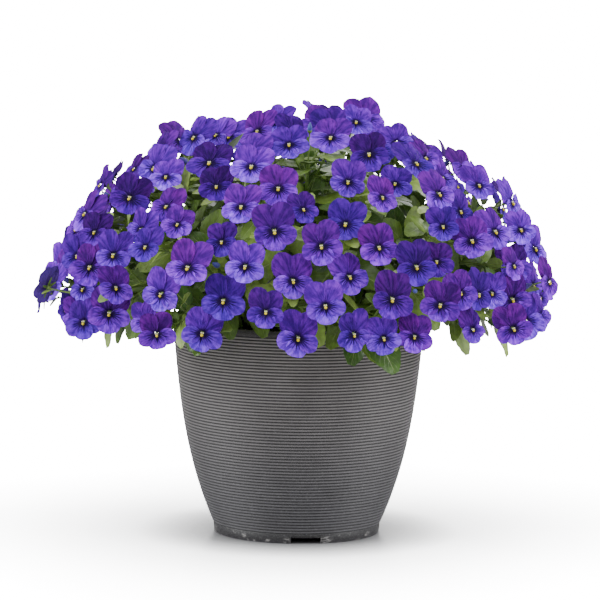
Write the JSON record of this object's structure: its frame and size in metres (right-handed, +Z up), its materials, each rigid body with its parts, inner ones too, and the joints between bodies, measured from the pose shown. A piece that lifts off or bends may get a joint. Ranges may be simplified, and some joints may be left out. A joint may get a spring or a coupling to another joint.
{
  "type": "potted pansy planter",
  "caption": "Ribbed tapered planter filled with potting mix, holding one round dome of leafy violet pansies that arches over the rim.",
  "frame": {"origin": "middle of the part's outer box, on the ground under the pot's foot", "axes": "+Z up along the pot's axis, -Y towards the viewer of the picture"},
  "size_m": [0.5274, 0.5217, 0.443],
  "materials": {
    "pot_plastic": "grey weathered matt plastic with paler rib crests",
    "potting_mix": "dark crumbly peat and bark mix",
    "plant": "soft violet petals on green stems and leaves"
  },
  "bodies": {
    "root": {"pot": "pot_plastic", "potting_mix": "potting_mix", "spray_01": "plant", "spray_02": "plant", "spray_03": "plant", "spray_04": "plant", "spray_05": "plant", "spray_06": "plant", "spray_07": "plant", "spray_08": "plant", "spray_09": "plant", "spray_10": "plant", "spray_11": "plant", "spray_12": "plant", "spray_13": "plant", "spray_14": "plant", "spray_15": "plant", "spray_16": "plant", "spray_17": "plant", "spray_18": "plant", "spray_19": "plant", "spray_20": "plant", "spray_21": "plant", "spray_22": "plant", "spray_23": "plant", "spray_24": "plant", "spray_25": "plant", "spray_26": "plant", "spray_27": "plant", "spray_28": "plant", "spray_29": "plant", "spray_30": "plant", "spray_31": "plant", "spray_32": "plant", "spray_33": "plant", "spray_34": "plant", "spray_35": "plant", "spray_36": "plant", "spray_37": "plant", "spray_38": "plant", "spray_39": "plant", "spray_40": "plant", "spray_41": "plant", "spray_42": "plant", "spray_43": "plant", "spray_44": "plant", "spray_45": "plant", "spray_46": "plant", "spray_47": "plant", "spray_48": "plant"}
  },
  "joints": []
}
